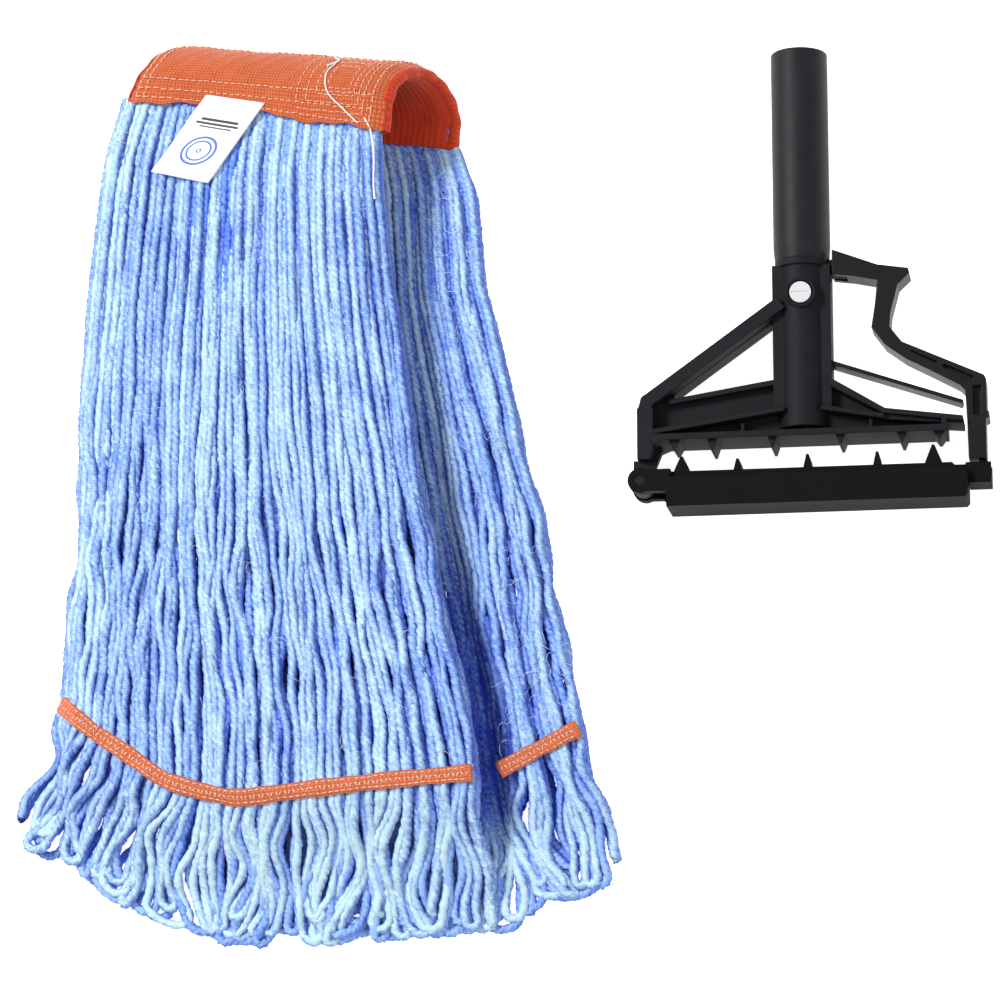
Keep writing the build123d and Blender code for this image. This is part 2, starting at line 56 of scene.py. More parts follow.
class Shader:
    """A principled material and a few short ways to add nodes to it."""

    def __init__(self, name, **sockets):
        self.material = bpy.data.materials.new(name)
        self.material.use_nodes = True
        self.tree = self.material.node_tree
        self.bsdf = self.tree.nodes["Principled BSDF"]
        for socket, value in sockets.items():
            self.bsdf.inputs[socket.replace("_", " ")].default_value = value
        self.coords = self.node("ShaderNodeTexCoord")

    def node(self, kind, **settings):
        made = self.tree.nodes.new(kind)
        for key, value in settings.items():
            setattr(made, key, value)
        return made

    def link(self, source, target):
        self.tree.links.new(source, target)

    def noise(self, scale, detail=3.0, rough=0.6, stretch=(1, 1, 1)):
        """Solid noise in the piece's own coordinates, from 0 to 1."""
        mapping = self.node("ShaderNodeMapping")
        mapping.inputs["Scale"].default_value = stretch
        self.link(self.coords.outputs["Object"], mapping.inputs["Vector"])
        noise = self.node("ShaderNodeTexNoise")
        noise.inputs["Scale"].default_value = scale
        noise.inputs["Detail"].default_value = detail
        noise.inputs["Roughness"].default_value = rough
        self.link(mapping.outputs["Vector"], noise.inputs["Vector"])
        return noise.outputs["Fac"]

    def wave(self, period, axis):
        """A sine of the given period in metres along one UV axis, from 0 to 1."""
        split = self.node("ShaderNodeSeparateXYZ")
        self.link(self.coords.outputs["UV"], split.inputs[0])
        scaled = self.math("MULTIPLY", split.outputs[axis], 2 * math.pi / period)
        return self.math("MULTIPLY_ADD", self.math("SINE", scaled), 0.5, 0.5)

    def math(self, operation, *values):
        made = self.node("ShaderNodeMath", operation=operation)
        for socket, value in zip(made.inputs, values):
            if isinstance(value, (int, float)):
                socket.default_value = value
            else:
                self.link(value, socket)
        return made.outputs[0]

    def ramp(self, factor, *stops):
        ramp = self.node("ShaderNodeValToRGB")
        elements = ramp.color_ramp.elements
        while len(elements) < len(stops):
            elements.new(0.5)
        for element, (place, colour) in zip(elements, stops):
            element.position = place
            element.color = colour
        self.link(factor, ramp.inputs["Fac"])
        return ramp.outputs["Color"]

    def mix(self, factor, first, second):
        made = self.node("ShaderNodeMix", data_type="RGBA")
        for socket, value in ((made.inputs["Factor"], factor), (made.inputs[6], first),
                              (made.inputs[7], second)):
            if isinstance(value, (int, float, tuple)):
                socket.default_value = value
            else:
                self.link(value, socket)
        return made.outputs[2]

    def attribute(self, name):
        made = self.node("ShaderNodeAttribute", attribute_name=name)
        split = self.node("ShaderNodeSeparateColor")
        self.link(made.outputs["Color"], split.inputs[0])
        return split.outputs

    def colour(self, output):
        self.link(output, self.bsdf.inputs["Base Color"])

    def roughness(self, factor, low, high):
        spread = self.node("ShaderNodeMapRange")
        spread.inputs["To Min"].default_value = low
        spread.inputs["To Max"].default_value = high
        self.link(factor, spread.inputs["Value"])
        self.link(spread.outputs[0], self.bsdf.inputs["Roughness"])

    def bump(self, height, distance, strength=1.0):
        bump = self.node("ShaderNodeBump")
        bump.inputs["Distance"].default_value = distance
        bump.inputs["Strength"].default_value = strength
        self.link(height, bump.inputs["Height"])
        self.link(bump.outputs["Normal"], self.bsdf.inputs["Normal"])


def yarn_material(name, light, middle, deep):
    """Plied cotton blend: painted light on each strand's upper side, painted shade on its flanks
    and in the grooves between its plies, fine fibre speckle.
    """
    s = Shader(name, Roughness=0.95, Sheen_Weight=0.2, Sheen_Roughness=0.6,
               Specular_IOR_Level=0.1)
    tint, painted_groove_shade, painted_top_light = s.attribute("shade")[:3]
    fibre = s.noise(520, 5, 0.75)
    patch = s.noise(60, 3, 0.6)
    total = s.math("MULTIPLY_ADD", fibre, 1.15, -0.95)
    # Weights: painted shade in the grooves between plies, painted light on each strand's upper
    # side, random patches, and each strand's tone, which also carries the painted light and
    # painted shadow set in Bundle.add.
    for part, weight in ((painted_groove_shade, 0.12), (painted_top_light, 0.62), (patch, 0.5), (tint, 0.3)):
        total = s.math("MULTIPLY_ADD", part, weight, total)
    s.colour(s.ramp(total, (0.0, linear(deep)), (0.4, linear(middle)), (0.85, linear(light))))
    s.bump(fibre, 0.0009, 0.9)
    return s.material


def tape_material(name, light, dark, across, along):
    """Open woven mesh tape; its threads run along the tape's own UV axes."""
    s = Shader(name, Roughness=0.8, Sheen_Weight=0.15, Specular_IOR_Level=0.25)
    weft, warp = s.wave(across, 0), s.wave(along, 1)
    weave = s.math("MULTIPLY", weft, warp)
    speck = s.noise(700, 3, 0.6)
    wear = s.noise(45, 3, 0.6)
    mixed = s.math("MULTIPLY_ADD", speck, 0.5, s.math("MULTIPLY", weave, 0.75))
    base = s.ramp(mixed, (0.1, linear(dark)), (0.75, linear(light)))
    s.colour(s.mix(s.math("MULTIPLY", wear, 0.38), base, linear(dark)))
    s.bump(s.math("ADD", weave, s.math("MULTIPLY", speck, 0.4)), 0.0004, 0.8)
    return s.material


def thread_material(name, light, dark):
    """Fine spun thread, speckled along its fibres."""
    s = Shader(name, Roughness=0.7, Sheen_Weight=0.2)
    strand = s.noise(1500, 3, 0.6)
    s.colour(s.ramp(strand, (0.25, linear(dark)), (0.6, linear(light))))
    s.bump(strand, 0.0002, 0.6)
    return s.material


def cloth_material(name, light, dark):
    """Tightly woven label cloth, plain or printed."""
    s = Shader(name, Roughness=0.75, Sheen_Weight=0.1)
    weave = s.math("MULTIPLY", s.wave(LABEL_WEAVE, 0), s.wave(LABEL_WEAVE, 1))
    s.colour(s.ramp(weave, (0.0, linear(dark)), (0.6, linear(light))))
    s.bump(weave, 0.0001, 0.5)
    return s.material


def plastic_material(name, dark, worn, rough, grain, gloss=0.2):
    """Moulded black plastic: fine grain, soft edges and slightly scuffed faces."""
    s = Shader(name, Specular_IOR_Level=gloss)
    scuff = s.noise(60, 5, 0.65)
    fine = s.noise(grain, 4, 0.6)
    s.colour(s.ramp(scuff, (0.3, linear(dark)), (0.8, linear(worn))))
    s.roughness(scuff, rough - 0.07, rough + 0.1)
    bump = s.node("ShaderNodeBump")
    bump.inputs["Distance"].default_value = 0.00015
    bump.inputs["Strength"].default_value = 0.35
    edge = s.node("ShaderNodeBevel", samples=4)
    edge.inputs["Radius"].default_value = 0.0009
    s.link(fine, bump.inputs["Height"])
    s.link(edge.outputs["Normal"], bump.inputs["Normal"])
    s.link(bump.outputs["Normal"], s.bsdf.inputs["Normal"])
    return s.material


def metal_material(name, colour, rough, metallic=1.0):
    """Turned steel with faint brushing."""
    s = Shader(name, Metallic=metallic)
    brushed = s.noise(400, 3, 0.5, stretch=(1, 8, 1))
    s.colour(s.ramp(brushed, (0.2, linear(colour)), (0.8, linear("#F4F5F7"))))
    s.roughness(brushed, rough, rough + 0.12)
    s.bump(brushed, 0.00005, 0.4)
    return s.material


YARN = yarn_material("yarn_blue", "#CFF0FF", "#84ABEF", "#3452CC")
# A darker copy of the same yarn, painted shade for strands that lie underneath and inside the
# band.
YARN_PAINTED_SHADE = yarn_material("yarn_painted_shade", "#A2C8FF", "#6089F2", "#2A48D2")
BAND = tape_material("band_mesh", "#DD7C4C", "#A63E18", 0.0016, 0.0016)
BAND_INSIDE = tape_material("band_inside", "#E4481C", "#AC280A", 0.0030, 0.0009)
TAIL = tape_material("tail_mesh", "#E4885E", "#B94E26", 0.0014, 0.0020)
FIBRE = thread_material("loose_fibre", "#E9F6FF", "#B4D4FA")
THREAD = thread_material("white_thread", "#FBFAF7", "#D9D6D2")
THREAD_PALE = thread_material("tail_thread", "#FFEFE6", "#F3CDB8")
THREAD_WARM = thread_material("band_thread", "#F6C9AE", "#E39A72")
LABEL = cloth_material("label_cloth", "#FFFFFF", "#EEF1F6")
INK_BLUE = cloth_material("ink_blue", "#6B85D6", "#4C66BE")
INK_GREY = cloth_material("ink_grey", "#4A4D55", "#34363D")


# --------------------------------------------------------------- mesh helpers
def ride_head(made):
    """Puts an object in the scene as a piece of the mop head."""
    bpy.context.scene.collection.objects.link(made)
    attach(made, "mop_head")


def mesh_piece(name, verts, quads, material, shade=None, uv=None):
    """A piece of the mop head, from points in millimetres and four-sided faces."""
    verts, quads = np.asarray(verts, float), np.asarray(quads, np.int32)
    mesh = bpy.data.meshes.new(name)
    mesh.vertices.add(len(verts))
    mesh.vertices.foreach_set("co", (verts * MM).ravel())
    mesh.loops.add(quads.size)
    mesh.loops.foreach_set("vertex_index", quads.ravel())
    mesh.polygons.add(len(quads))
    mesh.polygons.foreach_set("loop_start", np.arange(0, quads.size, 4, dtype=np.int32))
    mesh.polygons.foreach_set("use_smooth", np.full(len(quads), True))
    mesh.update(calc_edges=True)
    if shade is not None:
        layer = mesh.color_attributes.new("shade", "FLOAT_COLOR", "POINT")
        layer.data.foreach_set("color", np.asarray(shade, float).ravel())
    if uv is not None:
        layer = mesh.uv_layers.new(name="flat")
        layer.data.foreach_set("uv", (np.asarray(uv, float)[quads.ravel()] * MM).ravel())
    mesh.validate()
    mesh.materials.append(material)
    made = bpy.data.objects.new(name, mesh)
    ride_head(made)
    return made


def thicken(made, thickness):
    """Gives a sheet its thickness in millimetres, half to each side."""
    solid = made.modifiers.new("thickness", "SOLIDIFY")
    solid.thickness = thickness * MM
    solid.offset = 0


def smooth_path(points, step):
    """Evenly spaced points on a Catmull-Rom curve through the given ones."""
    p = np.asarray(points, float)
    p = np.vstack([2 * p[0] - p[1], p, 2 * p[-1] - p[-2]])
    t = np.linspace(0, 1, 8, endpoint=False)[:, None]
    runs = [0.5 * (2 * b + (c - a) * t + (2 * a - 5 * b + 4 * c - d) * t ** 2
                   + (3 * b - a - 3 * c + d) * t ** 3)
            for a, b, c, d in zip(p[:-3], p[1:-2], p[2:-1], p[3:])]
    q = np.vstack(runs + [p[-2][None]])
    s = np.r_[0, np.cumsum(np.linalg.norm(np.diff(q, axis=0), axis=1))]
    u = np.linspace(0, s[-1], max(3, int(round(s[-1] / step)) + 1))
    return np.column_stack([np.interp(u, s, q[:, k]) for k in range(3)])


def rope(path, radius, lobes=3, pitch=13.0, groove=0.13, up=(0, 0, 1), phase=0.0,
         ends=True, lumps=0.0):
    """Points, faces and shade of a twisted strand on a path: the crests of its plies, which also
    paint shade into the grooves between them, and painted light on its upward side.

    groove is how deep the plies part, as a share of the radius, and lumps how uneven
    the spinning is; ends says whether the strand tapers off at both ends.
    """
    path = np.asarray(path, float)
    sides = 3 * lobes
    tangent = np.gradient(path, axis=0)
    tangent /= np.linalg.norm(tangent, axis=1)[:, None]
    side = np.cross(tangent, np.asarray(up, float))
    side /= np.maximum(np.linalg.norm(side, axis=1), 1e-6)[:, None]
    over = np.cross(side, tangent)
    s = np.r_[0, np.cumsum(np.linalg.norm(np.diff(path, axis=0), axis=1))]
    turn = phase + 2 * math.pi * s / pitch
    if lumps:
        knots = np.arange(0, s[-1] + 2 * LUMP_SPACING, LUMP_SPACING)
        turn = turn + np.interp(s, knots, np.cumsum(rng.normal(0, 0.22, len(knots))))
        swell = np.clip(rng.normal(0, 1, len(knots)), -1.5, 1.5)
        radius = radius * (1 + lumps * np.interp(s, knots, swell))
    angle = turn[:, None] + np.arange(sides)[None] * 2 * math.pi / sides
    # crest: 0 in the grooves between plies, 1 elsewhere; it shapes the grooves and also paints
    # shade into them.
    crest = np.where(np.arange(sides) % 3 == 0, 0.0, 1.0)[None].repeat(len(path), 0)
    reach = np.broadcast_to(np.asarray(radius, float), (len(path),))[:, None]
    reach = reach * (1 - groove * (1 - crest))
    if ends:
        reach = reach * np.clip(np.minimum(np.arange(len(path)),
                                           np.arange(len(path))[::-1]) + 0.15, 0, 1)[:, None]
    ring = (path[:, None] + side[:, None] * (reach * np.cos(angle))[..., None]
            + over[:, None] * (reach * np.sin(angle))[..., None])
    # Painted light: the upward side of the strand is marked to be painted lighter.
    painted_top_light = ease(np.sin(angle), 0.3, 1.0)
    return (ring.reshape(-1, 3), grid(ring, closed=True),
            np.stack([crest.ravel(), painted_top_light.ravel()], -1))


class Bundle:
    """Gathers many strands into one mesh piece."""

    def __init__(self):
        self.verts, self.quads, self.shade, self.count = [], [], [], 0

    def add(self, made, tint=0.5):
        """Adds a rope: paler towards the band, painted light towards the fringe and painted
        shadow low beside the front layer's right edge.
        """
        verts, quads, shade = made
        self.verts.append(verts)
        self.quads.append(quads + self.count)
        colour = np.ones((len(verts), 4))
        y = verts[:, 1]
        # Painted light towards the fringe, which slopes away from the key light, and paler
        # towards the band.
        painted_fringe_light_and_paler_band = 0.75 * (1 - ease(y, -190, -140)) + 0.35 * ease(y, 120, 190) - 0.12
        # Painted shadow on low strands beside the front layer's right edge, in its lower part.
        painted_shadow = (beside_front(verts) * (1 - ease(verts[:, 2], 15, 24))
                  * ease(y, -190, -160) * (1 - ease(y, -120, -10)))
        colour[:, 0], colour[:, 1:3] = tint + painted_fringe_light_and_paler_band - 1.8 * painted_shadow, shade
        self.shade.append(colour)
        self.count += len(verts)

    def piece(self, name, material, slot):
        return mesh_piece(name, np.vstack(self.verts), np.vstack(self.quads), material,
                          shade=np.vstack(self.shade))


def grid(points, closed=False):
    """Faces of a rows by columns grid of points; closed joins the last column to the first."""
    rows, cols = points.shape[:2]
    i = np.arange(rows - 1)[:, None] * cols
    k = np.arange(cols if closed else cols - 1)[None]
    after = (k + 1) % cols
    return np.stack([i + k, i + after, i + cols + after, i + cols + k], -1).reshape(-1, 4)


def along(line, t):
    """Points at fractions of a polyline's length."""
    line = np.asarray(line, float)
    s = np.r_[0, np.cumsum(np.linalg.norm(np.diff(line, axis=0), axis=1))]
    u = np.asarray(t, float) * s[-1]
    return np.column_stack([np.interp(u, s, line[:, k]) for k in range(line.shape[1])])


def ease(x, low, high):
    """A smooth step from 0 at low to 1 at high."""
    t = np.clip((np.asarray(x, float) - low) / (high - low), 0, 1)
    return t * t * (3 - 2 * t)


# ------------------------------------------------------- sizes, in millimetres
HOME_Y = -3.3  # from where the head's outlines are drawn to where it lies
BAND_R, BAND_T, BAND_W, BAND_LEG = 28.0, 10.0, 128.0, 10.0
BAND_LEAN, BAND_TURN = 0.58, math.radians(-7.0)
BAND_AT = (-98.5, 198.0 + HOME_Y)
BAND_DROP, BAND_FLARE = 5.5, 5.0
TAIL_TAPE_W = 8.0
LABEL_W, LABEL_H = 31.0, 48.0
YARN_R = 2.5
THREAD_R = 0.45
LUMP_SPACING = 3.0
FLOOR_REST = YARN_R + 0.45  # lowest centre of a finished strand, grooves and lumps included
LOOP_WIDTH = 2 * YARN_R + 1.0
EDGE_TUCK = 2.6  # how far the headband's tapes draw in at its ends
TUCK_LENGTH = 7.0

FRONT = {
    "left": [(-187, 196), (-194.5, 169), (-200, 130), (-204, 94), (-207, 53),
             (-209.5, 2), (-213, -52), (-217, -108)],
    "right": [(-54.5, 184), (-54.5, 150), (-50, 99), (-38.5, 22), (-26, -55),
              (-12, -110), (-6.5, -149)],
    "tail": [(-217, -108), (-197.5, -124), (-182, -134), (-161.5, -149), (-146, -154),
             (-125, -159), (-87, -155), (-53, -152), (-6.5, -149)],
    "tips": [(-247, -159), (-236, -172), (-212, -185), (-192.5, -194), (-179, -208),
             (-160, -219), (-126, -225), (-91, -225), (-31, -221), (-4, -220)],
    "top": [(-232, 12), (-190, 29), (-156, 42), (-100, 44), (0, 46), (100, 48),
            (150, 52), (188, 56), (235, 56)],
    "base": [(-232, 3), (-200, 9), (-160, 22), (60, 22), (100, 27), (150, 37),
             (180, 46), (235, 46)],
}
BACK = {
    "left": [(-146, 192), (-148, 150), (-150, 100), (-151, 0), (-151, -118)],
    "right": [(-21, 178), (-12.5, 155), (-7.5, 103), (8, 41.5), (20.5, -10), (30.5, -61.5),
              (43, -125)],
    "tail": [(-151, -118), (-130, -134), (-95, -146), (-50, -151), (0, -147), (43, -125)],
    "tips": [(-157, -189), (-130, -210), (-70, -219), (-4, -219), (17, -217), (26, -206),
             (54, -199), (57, -187)],
    "top": [(-232, 6), (-200, 12), (-160, 22), (60, 22), (100, 21), (150, 17), (182, 10),
            (235, 10)],
    "base": [(-232, 0), (235, 0)],
}
LEFT_SHOULDER = [(-262, 9), (-222, 28), (-190, 60), (80, 64)]  # x and the front's highest z


def height(lay, x, y):
    """Lowest and highest surface of a layer at a place, HOME_Y not yet applied."""
    top = np.interp(y, *np.transpose(lay["top"]))
    base = np.interp(y, *np.transpose(lay["base"]))
    if lay is FRONT:
        top = np.minimum(top, np.interp(x, *np.transpose(LEFT_SHOULDER)))
        base = base * ease(x, -200, -150)
    return base, np.maximum(top, base + 2 * YARN_R + 0.4)


def patch(lay, s, v):
    """A place on a layer: s from its left edge to its right, v from band to tail."""
    left, right = along(lay["left"], v), along(lay["right"], v)
    tail = along(lay["tail"], np.full_like(v, s))
    straight = (1 - s) * np.asarray(lay["tail"][0]) + s * np.asarray(lay["tail"][-1])
    return (1 - s) * left + s * right + v[:, None] * (tail - straight)


def swing(t, waves, size):
    """A smooth random sideways swing along a strand."""
    total = np.zeros_like(t)
    for low, high in waves:
        total += np.sin(2 * math.pi * t * rng.uniform(low, high) + rng.uniform(0, 6.3))
    return size * total / math.sqrt(len(waves))


class Flow:
    """A drift shared by neighbouring strands: (waves across, waves along, size) terms."""

    def __init__(self, *terms):
        self.terms = [(across, down, size, rng.uniform(0, 6.3)) for across, down, size in terms]

    def __call__(self, s, v):
        return sum(size * np.sin(2 * math.pi * (across * s + down * v) + phase)
                   for across, down, size, phase in self.terms)


PANEL_DRIFT = Flow((1.4, 0.8, 1.5), (-3.1, 1.9, 1.3), (5.3, 3.4, 1.0), (-8.7, 5.6, 0.6),
                   (13.0, 2.2, 0.5))
PANEL_LIFT = Flow((4.3, 1.3, 0.8), (-9.1, 2.7, 0.6))
FRINGE_DRIFT = Flow((1.7, 0.6, 2.6), (-4.3, 1.0, 2.4), (8.1, 1.5, 1.3), (-12.5, 1.9, 0.7))


def beside_front(points):
    """1 in the narrow strip along the front layer's right edge, 0 elsewhere; it shapes the back
    layer's valley there and masks the painted shadow.
    """
    edge = np.array(FRONT["right"])[::-1]
    beside = points[:, 0] - np.interp(points[:, 1], edge[:, 1], edge[:, 0])
    return ease(beside, -16, -6) * (1 - ease(beside, 6, 22))


def valley(lay, xy, z):
    """How far the back layer sinks along the edge of the front one lying over it."""
    if lay is FRONT:
        return 0.0
    return beside_front(xy) * (0.4 + 0.6 * ease(-xy[:, 1], -60, 70)) * (z - YARN_R) * 0.95


def panel_run(lay, s, level, under, wander):
    """One strand from inside the headband to the tail tape."""
    v = np.linspace(0, 1, 46)
    xy = patch(lay, s, v)
    slack = np.sin(math.pi * v) ** 0.8 * (0.35 + 1.0 * ease(v, 0.35, 0.85))
    low = ease(v, 0.3, 0.8) * (1 - ease(v, 0.94, 1.0))
    xy[:, 0] += PANEL_DRIFT(s, v) * slack
    xy[:, 0] += swing(v, [(4.0, 7.0), (8.0, 12.0)], wander) * (0.18 * slack + low)
    base, top = height(lay, xy[:, 0], xy[:, 1])
    z = base + YARN_R + level * (top - base - 2 * YARN_R)
    ride = swing(v, [(0.8, 2.0), (2.0, 4.0), (5.0, 9.0)], 1.7)
    z += PANEL_LIFT(s, v) * slack + np.minimum(ride, 1.2) * np.maximum(
        slack, 0.6 * ease(v, 0, 0.1) * (1 - ease(v, 0.92, 0.985)))
    z -= under * (1 - ease(v, 0.08, 0.55)) * np.minimum(1.0, (z - base - YARN_R) / 4)
    z -= 2.4 * (1 - ease(v, 0.0, 0.07))
    z = np.maximum(z - valley(lay, xy, z), YARN_R)
    run = np.column_stack([xy[:, 0], xy[:, 1] + HOME_Y, z])
    inward = run[0] - run[1]
    inward = inward / np.linalg.norm(inward) * np.array([1, 1, 0])
    mouth = BAND_R + (BAND_R - BAND_T / 2) * (1 if lay is FRONT else -1)
    start = run[0] + inward * (6.0 if lay is FRONT else 3.0)
    start[2] = run[0][2] * 0.4 + mouth * 0.6
    return np.vstack([start, run])


def fringe_run(lay, s, level, lean, reach, curl):
    """The same strand from the tail tape to its looped tip."""
    w = np.linspace(0, 1, 17)[1:]
    start = along(lay["tail"], [s])[0]
    tips = along(lay["tips"], np.clip(s + lean * w ** 1.3, 0, 1))
    xy = start + (tips - start) * (w * reach)[:, None]
    sway = FRINGE_DRIFT(s, w) - FRINGE_DRIFT(s, 0.0)
    xy[:, 0] += (sway + swing(w, [(0.8, 1.6), (2.0, 3.2)], curl)) * ease(w, 0.0, 0.45)
    base, top = height(lay, xy[:, 0], xy[:, 1])
    floor = YARN_R + 0.2
    z = base + YARN_R + level * (top - base - 2 * YARN_R)
    droop = ease(w, 0.1, 1.0)
    z = z * (1 - droop) + (floor + (z - floor) * 0.45) * droop
    z += swing(w, [(1.0, 2.2)], 1.3) * w
    z = np.maximum(z - valley(lay, xy, z) * (1 - ease(w, 0.3, 0.9)), floor)
    return np.column_stack([xy[:, 0], xy[:, 1] + HOME_Y, z])


def looped_pair(lay, ends, level, under, wander, curl, lean, reach):
    """Two strands that are one yarn, turned back on itself in a round loop at the tip."""
    first, second = [
        (panel_run(lay, s, level, u, wander), fringe_run(lay, s, level, lean, reach, curl))
        for s, u in zip(ends, under)]
    tip_a, tip_b = first[1][-1], second[1][-1]
    gap = tip_b - tip_a
    gap[2] *= 0.3
    wide = max(np.linalg.norm(gap), 1e-3)
    if wide < LOOP_WIDTH:
        push = gap / wide * (LOOP_WIDTH - wide) / 2
        for run, sign in ((first[1], -1), (second[1], 1)):
            fade = ease(np.linspace(0, 1, len(run)), 0.35, 1.0)[:, None]
            run += sign * push * fade
        tip_a, tip_b = first[1][-1], second[1][-1]
    outward = (tip_a - first[1][-4]) + (tip_b - second[1][-4])
    outward[2] = 0
    outward /= np.linalg.norm(outward)
    half = (tip_b - tip_a) / 2
    turn = np.radians([30, 65, 90, 115, 150])[:, None]
    depth = min(np.linalg.norm(half), 6.0)
    bend = (tip_a + tip_b) / 2 - half * np.cos(turn) + outward * depth * np.sin(turn)
    bend[:, 2] = np.maximum(bend[:, 2] - 0.6 * np.sin(turn[:, 0]), YARN_R + 0.1)
    return np.vstack([first[0], first[1], bend, second[1][::-1], second[0][::-1]])


def lay_strands(bundle, lay, count, level, under, wander, curl, fine, left=0.012,
                right=0.988):
    """Looped strands across a layer, some loops nested inside a wider one."""
    places = np.linspace(left, right, count) + rng.normal(0, 0.12 / count, count)
    pairs, i = [], 0
    while i < count - 1:
        if i < count - 3 and rng.random() < 0.3:
            pairs += [(i, i + 3, 1.0), (i + 1, i + 2, 0.88)]
            i += 4
        else:
            pairs.append((i, i + 1, 1.0))
            i += 2
    for a, b, reach in pairs:
        middle = (places[a] + places[b]) / 2
        lean = 0.022 * math.sin(middle * 31 + level) + rng.normal(0, 0.004)
        sunk = (0.0, under) if b - a == 1 else (under * 0.5, under * 0.5)
        path = looped_pair(lay, (places[a], places[b]), level, sunk, wander, curl, lean,
                           reach * rng.uniform(0.9, 1.0))
        path = smooth_path(path, 1.25 if fine else 2.4)
        path[:, 2] = np.maximum(path[:, 2], FLOOR_REST)
        bundle.add(rope(path, YARN_R * rng.uniform(0.93, 1.08), phase=rng.uniform(0, 6),
                        pitch=rng.uniform(11, 18), lumps=0.1), rng.uniform(0, 1))


def side_strands(bundle, lay, s, levels):
    """Strands stacked up a layer's edge, in looped pairs."""
    for low, high in zip(levels[::2], levels[1::2]):
        runs = []
        reach = rng.uniform(0.9, 0.98)
        for level in (low, high):
            runs.append(np.vstack([panel_run(lay, s, level, 0.0, 0.9),
                                   fringe_run(lay, s, level, 0.0, reach, 1.0)]))
        tip = (runs[0][-1] + runs[1][-1]) / 2
        away = runs[0][-1] - runs[0][-4]
        tip = tip + away / np.linalg.norm(away) * 3.5
        path = smooth_path(np.vstack([runs[0], tip, runs[1][::-1]]), 1.4)
        path[:, 2] = np.maximum(path[:, 2], FLOOR_REST)
        bundle.add(rope(path, YARN_R, phase=rng.uniform(0, 6), lumps=0.07), rng.uniform(0, 1))


# ------------------------------------------------------------------- the yarn
def yarn():
    """Every strand of both layers, as pieces of moderate size."""
    for name, lay, count, mids, base_row in (("front", FRONT, 60, 48, 30),
                                             ("back", BACK, 51, 42, 36)):
        nodes = (name + "_yarn", name + "_fringe")
        thirds = np.linspace(0.012, 0.988, 4)
        for part in range(3):
            top = Bundle()
            gap = (thirds[1] - thirds[0]) / (count / 3)
            lay_strands(top, lay, count // 3, 1.0, 3.2, 0.75, 0.6, True,
                        thirds[part] + gap / 2, thirds[part + 1] - gap / 2)
            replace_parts(top.piece(f"{name}_strands_{part + 1}", YARN, "yarn_blue"), *nodes)
        stack = np.linspace(0.92, 0.02, 8 if lay is FRONT else 4)
        for side, s in (("left", 0.004), ("right", 0.996)):
            edge = Bundle()
            side_strands(edge, lay, s, stack)
            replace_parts(edge.piece(f"{name}_{side}_edge_strands", YARN, "yarn_blue"), *nodes)
        for row, many, level, inset in (("middle", mids, 0.82, 0.02),
                                        ("bottom", base_row, 0.02, 0.03)):
            under = Bundle()
            lay_strands(under, lay, many, level, 0.0, 1.0, 0.6, False, inset, 1 - inset)
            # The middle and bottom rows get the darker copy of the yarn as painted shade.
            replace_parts(under.piece(f"{name}_{row}_strands", YARN_PAINTED_SHADE, "yarn_blue"), *nodes)


yarn()


def stray_fibres(count=420):
    """Fine curled fibres that have worked loose and stand off the yarn."""
    bundle = Bundle()
    for _ in range(count):
        lay = FRONT if rng.random() < 0.62 else BACK
        s, v = rng.uniform(0.36 if lay is BACK else 0.0, 1.0), rng.uniform(0.04, 1.0)
        if lay is BACK:
            s = 1 - 0.3 * (1 - s)
        x, y = patch(lay, s, np.array([v]))[0]
        top = height(lay, x, y)[1]
        turn, length = rng.uniform(0, 2 * math.pi), rng.uniform(3, 9)
        t = np.linspace(0, 1, 7)
        bend = turn + rng.normal(0, 1.4) * t
        path = np.column_stack([x + length * t * np.cos(bend),
                                y + HOME_Y + length * t * np.sin(bend),
                                top - 1.0 + 2.2 * np.sin(math.pi * t) + 0.4 * t])
        bundle.add(rope(path, rng.uniform(0.10, 0.17), lobes=1, groove=0.0), 1.0)
    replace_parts(bundle.piece("stray_fibres", FIBRE, "yarn_blue"), "front_yarn")


stray_fibres()


# --------------------------------------------------------------- the headband
def band_place(x, u, r):
    """A point of the band: x along it, u round it from its front edge, r its radius."""
    x, u, r = np.broadcast_arrays(*(np.asarray(a, float) for a in (x, u, r)))
    end = BAND_W / 2
    drop = BAND_DROP * ease(x, -0.6 * end, end) * (1 - ease(u, 0, 14))
    flare = BAND_FLARE * (1 - ease(x, -end, -0.6 * end)) * (1 - ease(u, 0, 26))
    x, u = x - flare, u - drop
    arc = math.pi * BAND_R
    turn = np.clip((u - BAND_LEG) / BAND_R, 0, math.pi)
    y = r * np.sin(turn) + np.minimum(u - BAND_LEG, 0) - np.maximum(u - BAND_LEG - arc, 0)
    z = np.maximum(BAND_R + r * np.cos(turn), 0.35)
    lean = x - BAND_LEAN * (z - BAND_R)
    c, s = math.cos(BAND_TURN), math.sin(BAND_TURN)
    return np.stack([BAND_AT[0] + lean * c - y * s, BAND_AT[1] + lean * s + y * c, z], -1)


AROUND = 2 * BAND_LEG + math.pi * BAND_R
STITCH_ROWS = (2.6, 7.4, 13.0, 44.0)  # measured round the band from its front edge
SEAM_W = 1.1


def tuck(x):
    """How far the tapes draw in towards the band's ends."""
    return EDGE_TUCK * ease(np.abs(x), BAND_W / 2 - TUCK_LENGTH, BAND_W / 2)


def ripple(x, u, seed):
    """Gentle unevenness of sewn tape."""
    return (0.45 * np.sin(x * 0.11 + seed) * np.sin(u * 0.13 + 2 * seed)
            + 0.25 * np.sin(x * 0.31 + 3 * seed + u * 0.17)
            + 0.15 * np.sin(x * 0.67 - u * 0.4 + seed))


